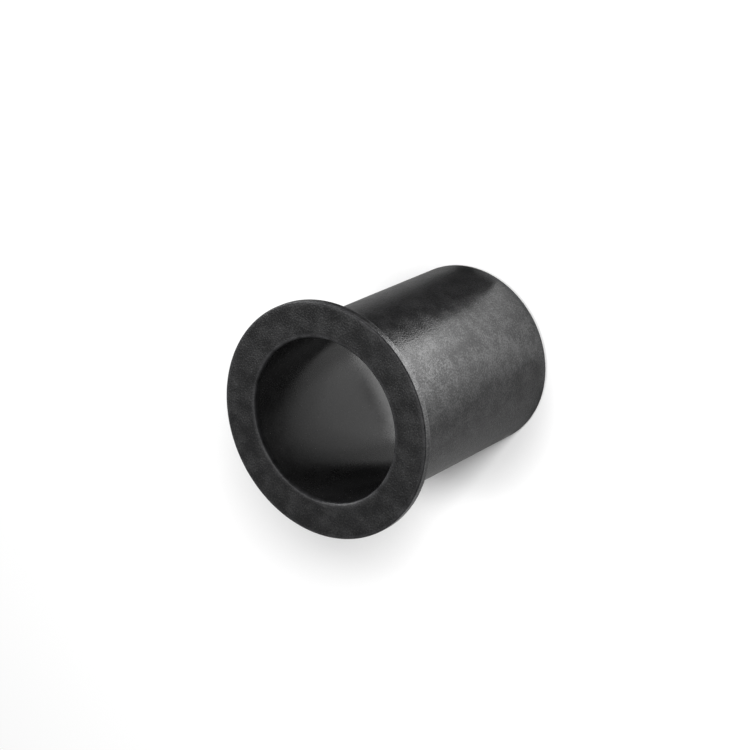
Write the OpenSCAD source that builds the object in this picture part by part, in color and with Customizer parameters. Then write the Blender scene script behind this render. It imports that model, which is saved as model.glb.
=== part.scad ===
// Flanged sleeve bushing, moulded in one piece
// It stands on the end of its sleeve with the flange up, and Z runs along the bore

/* [Bore] */
// Diameter of the running bore
bore_d = 20; // [8:0.5:40]
// Radius that rounds the mouth of the bore in the flange face
mouth_radius = 0.3; // [0.1:0.05:0.6]
// Width of the 45 degree chamfer on the bore at the sleeve end
bore_chamfer = 0.2; // [0.1:0.05:0.5]

/* [Sleeve] */
// Thickness of the sleeve's wall
wall = 1.5; // [1.2:0.1:4]
// Length of the sleeve from its end to the underside of the flange
sleeve_length = 30; // [4:0.5:60]
// Length of the lead-in chamfer outside the sleeve end
lead_in_length = 0.5; // [0.2:0.1:2]
// Depth of the lead-in chamfer, taken off the sleeve's radius
lead_in_depth = 0.35; // [0.1:0.05:0.6]

/* [Flange] */
// How far the flange stands out from the sleeve
flange_reach = 2.9; // [1.2:0.1:10]
// Thickness of the flange
flange_t = 1; // [0.8:0.1:4]
// Radius of the flange's rim on the face side
rim_radius = 0.2; // [0.05:0.05:0.4]
// Radius of the flange's rim on the sleeve side
rim_back_radius = 0.15; // [0.05:0.05:0.3]
// Radius in the corner between the sleeve and the flange
root_radius = 0.4; // [0.1:0.05:0.8]

/* [Hidden] */
$fn = 128;
bore_r = bore_d / 2;
sleeve_r = bore_r + wall;
flange_r = sleeve_r + flange_reach;
total_length = sleeve_length + flange_t;
// Overlap that keeps cutting shapes clear of the faces they cut
cut_over = 1;

// Area outside a quarter circle, for cutting a rounded edge
// Its corner is at the origin and the material lies below it and to its left
module rounded_edge(radius) {
    translate([-radius, -radius])
        difference() {
            square(radius + cut_over);
            circle(radius);
        }
}

// Area that fills a corner up to a quarter circle
// Its corner is at the origin, with the walls to its left and above it
module filled_corner(radius) {
    difference() {
        translate([-wall / 2, -radius])
            square([wall / 2 + radius, radius + flange_t / 2]);
        translate([radius, -radius])
            circle(radius);
    }
}

// Sleeve wall and flange as one L-shaped section with its root filled
module blank_section() {
    translate([bore_r, 0])
        square([wall, total_length]);
    translate([bore_r, sleeve_length])
        square([wall + flange_reach, flange_t]);
    translate([sleeve_r, sleeve_length])
        filled_corner(root_radius);
}

// Chamfers at the sleeve end, outside for pressing in and inside for the shaft
module end_chamfers() {
    polygon([
        [sleeve_r - lead_in_depth, 0],
        [sleeve_r - lead_in_depth, -cut_over],
        [sleeve_r + cut_over, -cut_over],
        [sleeve_r + cut_over, lead_in_length],
        [sleeve_r, lead_in_length]
    ]);
    polygon([
        [bore_r + bore_chamfer, 0],
        [bore_r + bore_chamfer, -cut_over],
        [bore_r - cut_over, -cut_over],
        [bore_r - cut_over, bore_chamfer],
        [bore_r, bore_chamfer]
    ]);
}

// Rounded edges of the flange, at the mouth of the bore and round the rim
module flange_edges() {
    translate([bore_r, total_length])
        mirror([1, 0])
            rounded_edge(mouth_radius);
    translate([flange_r, total_length])
        rounded_edge(rim_radius);
    translate([flange_r, sleeve_length])
        mirror([0, 1])
            rounded_edge(rim_back_radius);
}

module flanged_sleeve() {
    color("#2d2d2e")
        rotate_extrude()
            difference() {
                blank_section();
                end_chamfers();
                flange_edges();
            }
}

flanged_sleeve();
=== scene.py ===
import bpy
import math
from mathutils import Vector, Matrix


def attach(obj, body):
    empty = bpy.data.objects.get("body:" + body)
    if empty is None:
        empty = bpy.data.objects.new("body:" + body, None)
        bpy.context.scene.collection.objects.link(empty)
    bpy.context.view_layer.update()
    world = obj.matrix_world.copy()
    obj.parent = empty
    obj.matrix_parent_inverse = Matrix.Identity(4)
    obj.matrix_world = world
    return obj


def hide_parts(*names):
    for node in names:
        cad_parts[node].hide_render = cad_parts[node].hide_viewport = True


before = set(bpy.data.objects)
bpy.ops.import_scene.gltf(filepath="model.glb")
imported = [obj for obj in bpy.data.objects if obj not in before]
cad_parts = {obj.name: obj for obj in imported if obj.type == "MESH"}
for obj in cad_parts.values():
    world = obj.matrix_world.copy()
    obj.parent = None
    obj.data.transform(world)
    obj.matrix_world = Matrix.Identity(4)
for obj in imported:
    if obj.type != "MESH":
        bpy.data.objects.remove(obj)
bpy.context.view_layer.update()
mm = 0.001  # every size below is in millimetres until it is multiplied by this


def linearColour(hexCode):
    # sRGB hex code to the linear colour that the nodes take
    parts = [int(hexCode[i:i + 2], 16) / 255 for i in (1, 3, 5)]
    return [c / 12.92 if c <= 0.04045 else ((c + 0.055) / 1.055) ** 2.4 for c in parts] + [1.0]


def addNode(tree, kind, settings=None, links=None):
    # links take a socket to join, or a plain value to write
    node = tree.nodes.new(kind)
    for name, value in (settings or {}).items():
        setattr(node, name, value)
    for name, value in (links or {}).items():
        if isinstance(value, bpy.types.NodeSocket):
            tree.links.new(value, node.inputs[name])
        else:
            node.inputs[name].default_value = value
    return node


# The moulded sleeve: one section, turned about the bore
sleeve = {
    "Bore Radius": 10.0,
    "Wall": 1.5,
    "Sleeve Length": 30.0,
    "Flange Reach": 2.9,
    "Flange Thickness": 1.0,
    "Lead In Length": 0.5,
    "Lead In Depth": 0.35,
    "Bore Chamfer": 0.2,
    "Mouth Radius": 0.3,
    "Rim Radius": 0.2,
    "Rim Back Radius": 0.15,
    "Root Radius": 0.4,
    "Corner Radius": 0.06,  # mould edges are never quite sharp
    "Row Spacing": 0.6,     # between rows of faces on the straight stretches
    "Segments": 300,        # round the bore; this one and the next are whole numbers
    "Arc Steps": 7,         # points on each rounded corner
}
straightEnough = 0.001  # on a straight stretch the directions to both neighbours add up to less than this


def sleeveTree(material):
    tree = bpy.data.node_groups.new("turned section", "GeometryNodeTree")
    for name, value in sleeve.items():
        kind = "NodeSocketInt" if isinstance(value, int) else "NodeSocketFloat"
        tree.interface.new_socket(name=name, in_out="INPUT", socket_type=kind)
    tree.interface.new_socket(name="Mesh", in_out="OUTPUT", socket_type="NodeSocketGeometry")
    given = addNode(tree, "NodeGroupInput").outputs
    size = {name: given[name] for name in sleeve}

    # what follows from the named sizes
    for name, operation, first, second in (
        ("Sleeve Radius", "ADD", "Bore Radius", "Wall"),
        ("Flange Radius", "ADD", "Sleeve Radius", "Flange Reach"),
        ("Full Length", "ADD", "Sleeve Length", "Flange Thickness"),
        ("Bore End Radius", "ADD", "Bore Radius", "Bore Chamfer"),
        ("Lead In Radius", "SUBTRACT", "Sleeve Radius", "Lead In Depth"),
    ):
        size[name] = addNode(tree, "ShaderNodeMath", {"operation": operation},
                             {0: size[first], 1: size[second]}).outputs[0]

    # corners of the section: radius, height and how far the corner is rounded
    corners = (
        ("Bore End Radius", None, "Corner Radius"),
        ("Lead In Radius", None, "Corner Radius"),
        ("Sleeve Radius", "Lead In Length", "Corner Radius"),
        ("Sleeve Radius", "Sleeve Length", "Root Radius"),
        ("Flange Radius", "Sleeve Length", "Rim Back Radius"),
        ("Flange Radius", "Full Length", "Rim Radius"),
        ("Bore Radius", "Full Length", "Mouth Radius"),
        ("Bore Radius", "Bore Chamfer", "Corner Radius"),
    )
    place = addNode(tree, "GeometryNodeIndexSwitch", {"data_type": "VECTOR"})
    rounding = addNode(tree, "GeometryNodeIndexSwitch", {"data_type": "FLOAT"})
    for switch in (place, rounding):
        while len(switch.index_switch_items) < len(corners):
            switch.index_switch_items.new()
        tree.links.new(addNode(tree, "GeometryNodeInputIndex").outputs[0], switch.inputs["Index"])
    for i, (radius, height, radiusName) in enumerate(corners):
        point = addNode(tree, "ShaderNodeCombineXYZ", None, {"X": size[radius]})
        if height:
            tree.links.new(size[height], point.inputs["Y"])
        tree.links.new(point.outputs[0], place.inputs[str(i)])
        tree.links.new(size[radiusName], rounding.inputs[str(i)])

    line = addNode(tree, "GeometryNodeMeshLine", None, {"Count": len(corners)})
    shaped = addNode(tree, "GeometryNodeSetPosition", None,
                     {"Geometry": line.outputs[0], "Position": place.outputs[0]})
    kept = addNode(tree, "GeometryNodeStoreNamedAttribute", {"data_type": "FLOAT", "domain": "POINT"},
                   {"Geometry": shaped.outputs[0], "Name": "rounding", "Value": rounding.outputs[0]})
    curve = addNode(tree, "GeometryNodeMeshToCurve", None, {"Mesh": kept.outputs[0]})
    closed = addNode(tree, "GeometryNodeSetSplineCyclic", None,
                     {"Geometry": curve.outputs[0], "Cyclic": True})
    roundingField = addNode(tree, "GeometryNodeInputNamedAttribute", {"data_type": "FLOAT"},
                            {"Name": "rounding"})
    rounded = addNode(tree, "GeometryNodeFilletCurve", {"mode": "POLY"},
                      {"Curve": closed.outputs[0], "Count": size["Arc Steps"],
                       "Radius": roundingField.outputs[0]})

    # the points before and after each one tell how long a stretch is and where the section turns
    index = addNode(tree, "GeometryNodeInputIndex").outputs[0]
    position = addNode(tree, "GeometryNodeInputPosition").outputs[0]

    def stepsAlong(curve):
        count = addNode(tree, "GeometryNodeAttributeDomainSize", {"component": "CURVE"},
                        {"Geometry": curve}).outputs["Point Count"]
        steps = []
        for offset in (1, -1):
            moved = addNode(tree, "ShaderNodeMath", {"operation": "ADD"},
                            {0: index, 1: offset}).outputs[0]
            wrapped = addNode(tree, "ShaderNodeMath", {"operation": "FLOORED_MODULO"},
                              {0: moved, 1: count}).outputs[0]
            neighbour = addNode(tree, "GeometryNodeFieldAtIndex", {"data_type": "FLOAT_VECTOR"},
                                {"Index": wrapped, "Value": position}).outputs[0]
            steps.append(addNode(tree, "ShaderNodeVectorMath", {"operation": "SUBTRACT"},
                                 {0: neighbour, 1: position}).outputs[0])
        return steps

    stretch = addNode(tree, "ShaderNodeVectorMath", {"operation": "LENGTH"},
                      {0: stepsAlong(rounded.outputs[0])[0]}).outputs["Value"]
    cuts = addNode(tree, "ShaderNodeMath", {"operation": "DIVIDE"},
                   {0: stretch, 1: size["Row Spacing"]}).outputs[0]
    section = addNode(tree, "GeometryNodeSubdivideCurve", None,
                      {"Curve": rounded.outputs[0], "Cuts": cuts})
    # marked after the cuts, so that the paler edge colour, rubbed wear and a painted highlight, stays on the
    # edges and off the flat stretches
    directions = [addNode(tree, "ShaderNodeVectorMath", {"operation": "NORMALIZE"},
                          {0: step}).outputs[0] for step in stepsAlong(section.outputs[0])]
    turning = addNode(tree, "ShaderNodeVectorMath", {"operation": "ADD"},
                      {0: directions[0], 1: directions[1]})
    turned = addNode(tree, "ShaderNodeVectorMath", {"operation": "LENGTH"},
                     {0: turning.outputs[0]}).outputs["Value"]
    onEdge = addNode(tree, "ShaderNodeMath", {"operation": "GREATER_THAN"},
                     {0: turned, 1: straightEnough}).outputs[0]
    marked = addNode(tree, "GeometryNodeStoreNamedAttribute", {"data_type": "FLOAT", "domain": "POINT"},
                     {"Geometry": section.outputs[0], "Name": "edge", "Value": onEdge})

    # the section stands on a ring of the bore's radius, so its own radii are taken from there
    ring = addNode(tree, "GeometryNodeCurvePrimitiveCircle", {"mode": "RADIUS"},
                   {"Resolution": size["Segments"], "Radius": size["Bore Radius"]})
    back = addNode(tree, "ShaderNodeMath", {"operation": "MULTIPLY"},
                   {0: size["Bore Radius"], 1: -1.0}).outputs[0]
    shift = addNode(tree, "ShaderNodeCombineXYZ", None, {"X": back}).outputs[0]
    shifted = addNode(tree, "GeometryNodeSetPosition", None,
                      {"Geometry": marked.outputs[0], "Offset": shift})
    turnedMesh = addNode(tree, "GeometryNodeCurveToMesh", None,
                         {"Curve": ring.outputs[0], "Profile Curve": shifted.outputs[0]})
    # the ring carries the section upside down, so the mesh is turned over, and it is brought to metres
    upright = addNode(tree, "GeometryNodeTransform", None,
                      {"Geometry": turnedMesh.outputs[0], "Rotation": (math.pi, 0, 0),
                       "Scale": (mm, mm, mm)})
    smooth = addNode(tree, "GeometryNodeSetShadeSmooth", None, {"Geometry": upright.outputs[0]})
    real = addNode(tree, "GeometryNodeRealizeInstances", None, {"Geometry": smooth.outputs[0]})
    dressed = addNode(tree, "GeometryNodeSetMaterial", None,
                      {"Geometry": real.outputs[0], "Material": material})
    addNode(tree, "NodeGroupOutput", None, {"Mesh": dressed.outputs[0]})
    return tree


def makeSleeve(material):
    host = bpy.data.objects.new("sleeveHost", bpy.data.meshes.new("sleeveHost"))
    bpy.context.scene.collection.objects.link(host)
    modifier = host.modifiers.new("turned section", "NODES")
    modifier.node_group = sleeveTree(material)
    for item in modifier.node_group.interface.items_tree:
        if item.in_out == "INPUT":
            modifier[item.identifier] = sleeve[item.name]
    evaluated = host.evaluated_get(bpy.context.evaluated_depsgraph_get())
    mesh = bpy.data.meshes.new_from_object(evaluated)
    mesh.name = "mouldedSleeve"
    bpy.data.objects.remove(host)
    piece = bpy.data.objects.new("mouldedSleeve", mesh)
    bpy.context.scene.collection.objects.link(piece)
    return piece


# Moulded polyamide with glass fibre, near black: matt, because the steel of its mould was spark eroded.
# The eye gets a fine sandy sparkle outside, a smoother sheen in the bore and paler edges, partly rubbed and
# partly a painted highlight.
plastic = {
    "dark": "#2a2a2b",
    "light": "#3a3a3b",
    # edges: rubbed wear, lightened further as a painted highlight on the rims
    "wornAndHighlit": "#515153",
    "fibre": "#7c7c7e",
    "roughness": (0.3, 0.38),      # of the grained outside, from glossier to duller patches
    "boreRoughness": (0.2, 0.24),
    "ior": 1.5,
    "grain": 0.2,                  # mm across one pit; real ones are finer than the picture can show
    "grainHeight": 0.02,
    "boreGrainShare": 0.12,        # of that height is left in the bore
    "cloud": 1.8,                  # mm across the widest patches where the grain came out unevenly
    "cloudSpan": (0.35, 0.65),     # of the patches' noise, from glossier to duller
    "cloudShare": 0.5,             # of the patches, added to the grain
    "toneSpan": (0.6, 1.0),        # of that sum, from the darkest colour to the lightest
    "sheenSpan": (0.67, 1.0),      # of that sum, from the dullest pit to the shiniest peak
    "sheen": (0.38, 0.98),         # specular level in the pits, which trap light, and on the peaks
    "boreSheen": 0.5,
    "fibreSpacing": 0.55,          # mm between glass fibre ends that reach the surface
    "fibreSize": 0.05,             # real ones are 0.01 mm, too fine to show
    "wearPatch": 1.4,              # mm across the widest spots of the paler edge colour
    "wearSpan": (0.25, 0.6),       # of the spots' noise, from the plain colour to the paler one
    "wearStart": 0.4,              # share of the way to an edge where its paler colour, wear and painted highlight, begins
    "boreEdge": (10.04, 10.22),    # mm from the axis, where the bore's finish goes over into the grain
}


def mouldedPolyamide():
    material = bpy.data.materials.new("moulded polyamide, spark-eroded grain")
    material.use_nodes = True
    tree = material.node_tree
    tree.nodes.clear()

    # object coordinates in millimetres, so that one unit of a pattern is one millimetre
    coordinates = addNode(tree, "ShaderNodeTexCoord").outputs["Object"]
    place = addNode(tree, "ShaderNodeVectorMath", {"operation": "SCALE"},
                    {0: coordinates, "Scale": 1 / mm}).outputs[0]
    across = addNode(tree, "ShaderNodeVectorMath", {"operation": "MULTIPLY"},
                     {0: place, 1: (1, 1, 0)}).outputs[0]
    fromAxis = addNode(tree, "ShaderNodeVectorMath", {"operation": "LENGTH"},
                       {0: across}).outputs["Value"]
    boreEnd, grainStart = plastic["boreEdge"]
    outside = addNode(tree, "ShaderNodeMapRange", None,
                      {"Value": fromAxis, "From Min": boreEnd, "From Max": grainStart}).outputs[0]
    edge = addNode(tree, "ShaderNodeAttribute", {"attribute_name": "edge"}).outputs["Fac"]

    # patterns, each with its real size
    grain = addNode(tree, "ShaderNodeTexNoise", None,
                    {"Vector": place, "Scale": 1 / plastic["grain"], "Detail": 2.0,
                     "Roughness": 0.6}).outputs[0]
    pits = addNode(tree, "ShaderNodeTexVoronoi", {"feature": "SMOOTH_F1"},
                   {"Vector": place, "Scale": 1 / plastic["grain"],
                    "Smoothness": 0.4}).outputs["Distance"]
    clouds = addNode(tree, "ShaderNodeTexNoise", None,
                     {"Vector": place, "Scale": 1 / plastic["cloud"], "Detail": 1.0}).outputs[0]
    fibreEnds = addNode(tree, "ShaderNodeTexVoronoi", None,
                        {"Vector": place, "Scale": 1 / plastic["fibreSpacing"]}).outputs["Distance"]
    rubbing = addNode(tree, "ShaderNodeTexNoise", None,
                      {"Vector": place, "Scale": 1 / plastic["wearPatch"], "Detail": 3.0}).outputs[0]

    # colour: cloudy base, then paler edges, rubbed wear with a painted highlight, then fibre ends
    mixed = addNode(tree, "ShaderNodeMath", {"operation": "MULTIPLY_ADD"},
                    {0: clouds, 1: plastic["cloudShare"], 2: grain}).outputs[0]
    low, high = plastic["toneSpan"]
    tone = addNode(tree, "ShaderNodeMapRange", None,
                   {"Value": mixed, "From Min": low, "From Max": high}).outputs[0]
    low, high = plastic["wearSpan"]
    rubbed = addNode(tree, "ShaderNodeMapRange", None,
                     {"Value": rubbing, "From Min": low, "From Max": high}).outputs[0]
    nearEdge = addNode(tree, "ShaderNodeMapRange", None,
                       {"Value": edge, "From Min": plastic["wearStart"]}).outputs[0]
    # paler edges: partly rubbed wear, partly a painted highlight on the rims
    wearAndHighlight = addNode(tree, "ShaderNodeMath", {"operation": "MULTIPLY"},
                   {0: nearEdge, 1: rubbed}).outputs[0]
    speckRadius = plastic["fibreSize"] / plastic["fibreSpacing"]
    specks = addNode(tree, "ShaderNodeMapRange", None,
                     {"Value": fibreEnds, "From Min": speckRadius / 2, "From Max": speckRadius,
                      "To Min": 1.0, "To Max": 0.0}).outputs[0]
    colour = linearColour(plastic["dark"])
    for share, hexCode in ((tone, "light"), (wearAndHighlight, "wornAndHighlit"), (specks, "fibre")):
        blend = addNode(tree, "ShaderNodeMixRGB", None,
                        {"Fac": share, "Color1": colour, "Color2": linearColour(plastic[hexCode])})
        colour = blend.outputs[0]

    # roughness: patchy outside, smoother in the bore
    low, high = plastic["cloudSpan"]
    ranges = []
    for name in ("boreRoughness", "roughness"):
        glossy, dull = plastic[name]
        ranges.append(addNode(tree, "ShaderNodeMapRange", None,
                              {"Value": clouds, "From Min": low, "From Max": high, "To Min": glossy,
                               "To Max": dull}).outputs[0])
    roughness = addNode(tree, "ShaderNodeMapRange", None,
                        {"Value": outside, "To Min": ranges[0], "To Max": ranges[1]}).outputs[0]

    # pits shine less than peaks, though not in the smooth bore
    low, high = plastic["sheenSpan"]
    dull, shiny = plastic["sheen"]
    peaks = addNode(tree, "ShaderNodeMapRange", None,
                    {"Value": mixed, "From Min": low, "From Max": high, "To Min": dull,
                     "To Max": shiny}).outputs[0]
    sheen = addNode(tree, "ShaderNodeMapRange", None,
                    {"Value": outside, "To Min": plastic["boreSheen"], "To Max": peaks}).outputs[0]

    # the eroded grain stands up outside and nearly vanishes in the bore
    relief = addNode(tree, "ShaderNodeMath", {"operation": "ADD"}, {0: grain, 1: pits}).outputs[0]
    strength = addNode(tree, "ShaderNodeMapRange", None,
                       {"Value": outside, "To Min": plastic["boreGrainShare"]}).outputs[0]
    bump = addNode(tree, "ShaderNodeBump", None,
                   {"Height": relief, "Strength": strength,
                    "Distance": plastic["grainHeight"] * mm}).outputs[0]
    shader = addNode(tree, "ShaderNodeBsdfPrincipled", None,
                     {"Base Color": colour, "Roughness": roughness, "IOR": plastic["ior"],
                      "Specular IOR Level": sheen, "Normal": bump})
    addNode(tree, "ShaderNodeOutputMaterial", None, {"Surface": shader.outputs[0]})
    return material


material = mouldedPolyamide()
piece = makeSleeve(material)
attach(piece, "root")
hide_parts("flanged_sleeve")
print("sleeve turned:", len(piece.data.polygons), "faces")

# Camera: the photo's view of the part, with the picture turned so that the bore points down and to the left
view = {
    "lens": 120.0,
    "sensor": 36.0,       # across
    "clipStart": 10.0,
    "distance": 290.3,    # from the middle of the flange face
    "offAxis": 40.8,      # degrees between the bore's axis and the camera
    "aim": (2.47, 2.69, 15.5),
    "roll": 114.46,       # degrees that the picture's up lies over from upright
}


def makeCamera():
    lens = bpy.data.cameras.new("camera")
    lens.lens = view["lens"]
    lens.sensor_width = view["sensor"]
    lens.clip_start = view["clipStart"] * mm
    camera = bpy.data.objects.new("camera", lens)
    bpy.context.scene.collection.objects.link(camera)
    slant = math.radians(view["offAxis"])
    faceHeight = sleeve["Sleeve Length"] + sleeve["Flange Thickness"]
    place = Vector((0, -math.sin(slant), math.cos(slant))) * view["distance"] + Vector((0, 0, faceHeight))
    turn = (Vector(view["aim"]) - place).to_track_quat("-Z", "Y").to_matrix().to_4x4()
    roll = Matrix.Rotation(-math.radians(view["roll"]), 4, "Z")
    camera.matrix_world = Matrix.Translation(place * mm) @ turn @ roll
    bpy.context.scene.camera = camera


makeCamera()
print("camera placed:", view["lens"], "mm lens")

# Stage: white paper, cards that only reflections see, and soft lamps. The photo's part lies on its side and
# mirrors the paper round it; this one stands, so cards and low panels give it the same light and dark.
paper = {
    "colour": "#e6e6e6",
    "half": 2000.0,  # from the middle to each side
    "lift": 0.14,  # what it gives off to camera, mirror and glass rays beside the light it scatters
}
world = {"colour": "#ffffff", "strength": 0.08}
cardSeam = ((10.9, -4.7), (14.7, -2), (18.7, 0), (27.5, 4.5), (110, 46))  # where side and back card meet
endCardRadius = 11.9  # a little past the sleeve
endCardStep = 10      # degrees from one of its corners to the next
cards = (
    {"name": "side card", "height": 0.2, "colour": "#050505",
     "corners": ((7.4, -9.8), (36, -48), (75, -103), (130, 10), *reversed(cardSeam), (9.2, -7.7))},
    {"name": "back card", "height": 0.2, "colour": "#9a9a9a",
     "corners": (*cardSeam, (90, 90), (36, 60), (14, 27), (0, 28), (-14, 28), (-30, 24), (-42, 8), (-44, -14),
                 (-36, -36), (-24, -26), (-11, -19.5), (-7.5, -14.7), (-4, -12), (-7.6, -9.4), (-10.5, -5.5),
                 (-12.2, 0), (-10.5, 6), (-4, 11.4), (4, 11.4), (9.2, 7.7), (12, 1))},
    # a black disc under the sleeve's end that only reflections see: painted shade in the lead-in and the
    # bore, where the part's own shadow would be
    {"name": "end card", "height": 0.03, "colour": "#050505",
     "corners": [(endCardRadius * math.cos(math.radians(turn)), endCardRadius * math.sin(math.radians(turn)))
                 for turn in range(0, 360, endCardStep)]},
)
# each lamp lights either the paper or the part, and one without an aim faces straight up; turn is in degrees
lamps = (
    {"name": "steep paper key", "lights": "paper", "place": (43, -87, 592), "aim": (0, 0, 0),
     "size": (130, 130), "radiance": 38.5},
    {"name": "low paper key", "lights": "paper", "place": (67, -395, 447), "aim": (0, 0, 0),
     "size": (146, 146), "radiance": 50.0},
    {"name": "top", "lights": "part", "place": (40, 60, 600), "aim": (0, 0, 0),
     "size": (420, 420), "radiance": 1.3},
    {"name": "back", "lights": "part", "place": (260, 260, 380), "aim": (0, 0, 20),
     "size": (260, 260), "radiance": 2.4},
    {"name": "side", "lights": "part", "place": (436, 176, 150), "aim": (0, 0, 31),
     "size": (300, 110), "radiance": 6.0},
    {"name": "near panel", "lights": "part", "place": (4, -42, 0.5), "turn": -53,
     "size": (47.5, 44), "radiance": 0.5, "mirrorOnly": True},
    {"name": "far panel", "lights": "part", "place": (9, -48.5, 0.6), "turn": -53,
     "size": (40, 44), "radiance": 3.8, "mirrorOnly": True},
    {"name": "wide bore panel", "lights": "part", "place": (-0.3, -0.6, 4), "turn": 133, "shape": "ELLIPSE",
     "size": (19.8, 17.6), "radiance": 0.47, "mirrorOnly": True},
    {"name": "middle bore panel", "lights": "part", "place": (-0.7, -1.7, 4.2), "shape": "ELLIPSE",
     "size": (12.8, 14), "radiance": 0.3},
    {"name": "small bore panel", "lights": "part", "place": (-0.6, 1, 4.4), "shape": "ELLIPSE",
     "size": (6.6, 9), "radiance": 0.3, "mirrorOnly": True},
    {"name": "bore glow", "lights": "part", "place": (0, 5, 0.3), "shape": "ELLIPSE",
     "size": (5, 2.4), "radiance": 2.6},
)


def whitePaper():
    material = bpy.data.materials.new("white paper, matt")
    material.use_nodes = True
    tree = material.node_tree
    tree.nodes.clear()
    scattered = addNode(tree, "ShaderNodeBsdfDiffuse", None, {"Color": linearColour(paper["colour"])})
    seen = 0.0
    ray = addNode(tree, "ShaderNodeLightPath")
    for name in ("Is Camera Ray", "Is Glossy Ray", "Is Transmission Ray"):
        seen = addNode(tree, "ShaderNodeMath", {"operation": "MAXIMUM"},
                       {0: ray.outputs[name], 1: seen}).outputs[0]
    strength = addNode(tree, "ShaderNodeMath", {"operation": "MULTIPLY"},
                       {0: seen, 1: paper["lift"]}).outputs[0]
    lifted = addNode(tree, "ShaderNodeEmission", None, {"Strength": strength})
    both = addNode(tree, "ShaderNodeAddShader", None, {0: scattered.outputs[0], 1: lifted.outputs[0]})
    addNode(tree, "ShaderNodeOutputMaterial", None, {"Surface": both.outputs[0]})
    return material


def stageSheet(name, corners, height, material):
    mesh = bpy.data.meshes.new(name)
    mesh.from_pydata([(x * mm, y * mm, height * mm) for x, y in corners], [], [range(len(corners))])
    mesh.materials.append(material)
    sheet = bpy.data.objects.new(name, mesh)
    bpy.context.scene.collection.objects.link(sheet)
    return sheet


def softLamp(lamp):
    light = bpy.data.lights.new(lamp["name"], "AREA")
    light.shape = lamp.get("shape", "RECTANGLE")
    light.size, light.size_y = [side * mm for side in lamp["size"]]
    area = light.size * light.size_y * (math.pi / 4 if light.shape == "ELLIPSE" else 1)
    light.energy = lamp["radiance"] * math.pi * area
    thing = bpy.data.objects.new(lamp["name"], light)
    bpy.context.scene.collection.objects.link(thing)
    place = Vector(lamp["place"])
    facing = Vector(lamp["aim"]) - place if "aim" in lamp else Vector((0, 0, 1))
    turn = facing.to_track_quat("-Z", "Y").to_matrix().to_4x4()
    around = Matrix.Rotation(math.radians(lamp.get("turn", 0)), 4, facing.normalized())
    thing.matrix_world = Matrix.Translation(place * mm) @ around @ turn
    thing.visible_camera = False
    thing.light_linking.receiver_collection = receivers[lamp["lights"]]
    if lamp.get("mirrorOnly"):
        thing.visible_diffuse = False
    return thing


half = paper["half"]
floor = stageSheet("floor", ((-half, -half), (half, -half), (half, half), (-half, half)), 0, whitePaper())
receivers = {name: bpy.data.collections.new("lit as " + name) for name in ("paper", "part")}
receivers["paper"].objects.link(floor)
receivers["part"].objects.link(piece)
for card in cards:
    cardboard = bpy.data.materials.new(card["name"] + ", matt cardboard")
    cardboard.use_nodes = True
    shader = cardboard.node_tree.nodes["Principled BSDF"].inputs
    shader["Base Color"].default_value = linearColour(card["colour"])
    shader["Roughness"].default_value = 1.0
    sheet = stageSheet(card["name"], card["corners"], card["height"], cardboard)
    receivers["paper"].objects.link(sheet)
    for name in ("visible_camera", "visible_diffuse", "visible_shadow"):
        setattr(sheet, name, False)  # it is there for the sleeve's reflections alone
for lamp in lamps:
    softLamp(lamp)
bpy.context.scene.world = bpy.data.worlds.new("studio")
bpy.context.scene.world.use_nodes = True
sky = bpy.context.scene.world.node_tree.nodes["Background"].inputs
sky["Color"].default_value = linearColour(world["colour"])
sky["Strength"].default_value = world["strength"]
print("stage lit:", len(lamps), "lamps")

bpy.context.scene.view_settings.view_transform = "Standard"
